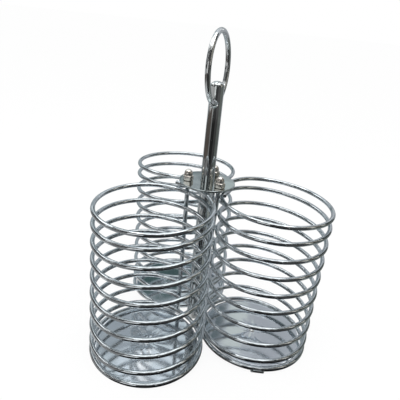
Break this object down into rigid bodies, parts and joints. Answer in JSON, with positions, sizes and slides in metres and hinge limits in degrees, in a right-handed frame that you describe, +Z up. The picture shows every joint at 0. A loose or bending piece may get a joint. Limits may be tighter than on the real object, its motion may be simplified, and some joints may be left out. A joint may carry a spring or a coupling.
{
  "type": "spoon holder",
  "caption": "Wire cutlery caddy: wound-wire cups with sheet floors round a centre post, tied by rods and cap nuts to a round top plate, with a ring handle.",
  "frame": {"origin": "middle of the bounding box, on the table that the cups stand on", "axes": "+Z up along the post; +Y along the hinge axis of the ring, through the post"},
  "size_m": [0.1644, 0.1718, 0.2292],
  "materials": {
    "chrome_wire": "bright plated wire",
    "chrome_bar": "polished bar",
    "plated_sheet": "satin plated sheet",
    "nickel_nut": "warm nickel plate"
  },
  "bodies": {
    "frame": {"post": "chrome_bar", "top_plate": "plated_sheet", "wire_coil_right": "chrome_wire", "floor_pan_right": "plated_sheet", "floor_strip_right": "plated_sheet", "floor_rivet_right": "chrome_wire", "tie_rod_right": "chrome_wire", "cap_nut_right": "nickel_nut", "wire_coil_rear": "chrome_wire", "floor_pan_rear": "plated_sheet", "floor_strip_rear": "plated_sheet", "floor_rivet_rear": "chrome_wire", "tie_rod_rear": "chrome_wire", "cap_nut_rear": "nickel_nut", "wire_coil_left": "chrome_wire", "floor_pan_left": "plated_sheet", "floor_strip_left": "plated_sheet", "floor_rivet_left": "chrome_wire", "tie_rod_left": "chrome_wire", "cap_nut_left": "nickel_nut"},
    "handle": {"handle_ring": "chrome_bar"}
  },
  "joints": [
    {"name": "ring_swing", "type": "hinge", "parent": "frame", "child": "handle", "pos_m": [-0.01071, 0.00265, 0.17717], "axis": [0, 1, 0], "range_deg": [-160, 165]}
  ]
}
